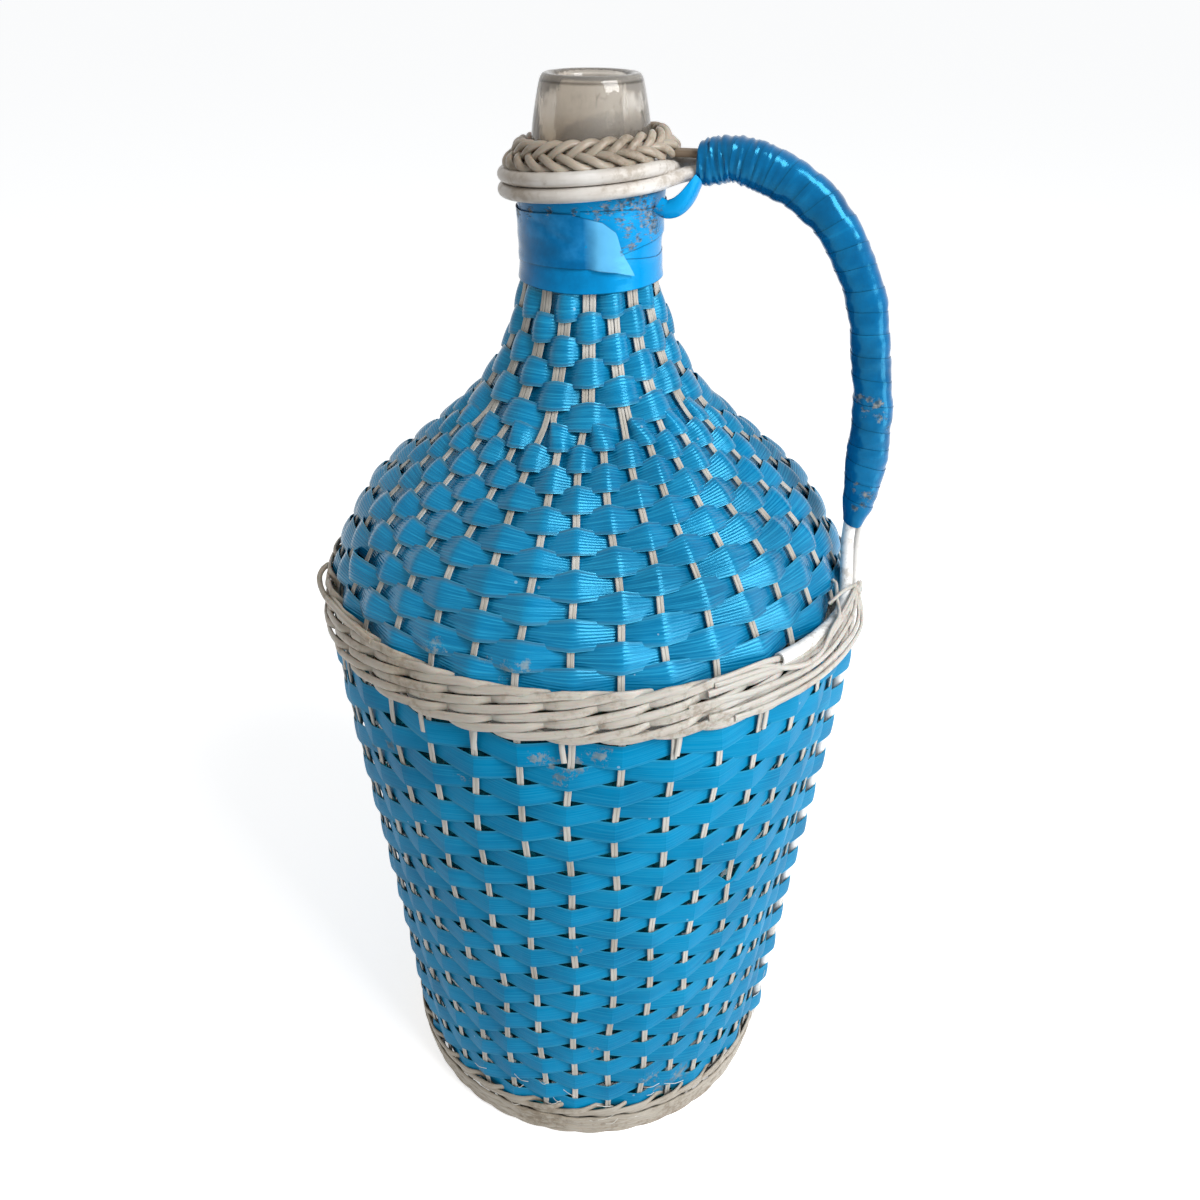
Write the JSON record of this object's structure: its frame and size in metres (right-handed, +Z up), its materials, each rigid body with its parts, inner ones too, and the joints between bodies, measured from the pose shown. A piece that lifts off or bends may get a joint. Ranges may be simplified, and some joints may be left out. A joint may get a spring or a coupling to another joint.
{
  "type": "demijohn",
  "caption": "Glass demijohn in a woven plastic cover with a waist band, a plaited collar, a taped neck and a tube handle wound with tape.",
  "frame": {"origin": "centre of the mat's flat underside, on the floor", "axes": "+Z up along the bottle's axis, +X towards the handle"},
  "size_m": [0.1966, 0.1925, 0.387],
  "materials": {
    "glass": "clear brownish bottle glass, a little dusty",
    "mat_strand": "pale brown plastic strand",
    "stake_strand": "off-white plastic strand with a groove",
    "lower_ribbon": "blue plastic ribbon, satin",
    "upper_ribbon": "blue plastic ribbon, ribbed and shiny",
    "beige_strand": "beige plastic strand, slightly clear",
    "white_tube": "white plastic tube",
    "core_strip": "brown strip",
    "blue_tape": "blue adhesive tape, shiny"
  },
  "bodies": {
    "root": {"base_mat": "mat_strand", "foot_border": "beige_strand", "foot_rope": "beige_strand", "glass_bottle": "glass", "handle_core": "core_strip", "handle_tape": "blue_tape", "handle_tube": "white_tube", "lower_ribbon_1": "lower_ribbon", "lower_ribbon_2": "lower_ribbon", "lower_ribbon_3": "lower_ribbon", "lower_ribbon_4": "lower_ribbon", "neck_plait_1": "beige_strand", "neck_plait_2": "beige_strand", "neck_plait_3": "beige_strand", "neck_tape": "blue_tape", "stake_01": "stake_strand", "stake_02": "stake_strand", "stake_03": "stake_strand", "stake_04": "stake_strand", "stake_05": "stake_strand", "stake_06": "stake_strand", "stake_07": "stake_strand", "stake_08": "stake_strand", "stake_09": "stake_strand", "stake_10": "stake_strand", "stake_11": "stake_strand", "stake_12": "stake_strand", "stake_13": "stake_strand", "stake_14": "stake_strand", "stake_15": "stake_strand", "stake_16": "stake_strand", "stake_17": "stake_strand", "stake_18": "stake_strand", "stake_19": "stake_strand", "stake_20": "stake_strand", "stake_21": "stake_strand", "stake_22": "stake_strand", "stake_23": "stake_strand", "stake_24": "stake_strand", "stake_25": "stake_strand", "stake_26": "stake_strand", "stake_27": "stake_strand", "stake_28": "stake_strand", "stake_29": "stake_strand", "stake_30": "stake_strand", "stake_31": "stake_strand", "stake_32": "stake_strand", "stake_33": "stake_strand", "stake_34": "stake_strand", "stake_35": "stake_strand", "stake_36": "stake_strand", "stake_37": "stake_strand", "tape_tail": "blue_tape", "upper_ribbon_1": "upper_ribbon", "upper_ribbon_2": "upper_ribbon", "upper_ribbon_3": "upper_ribbon", "waist_band": "beige_strand"}
  },
  "joints": []
}
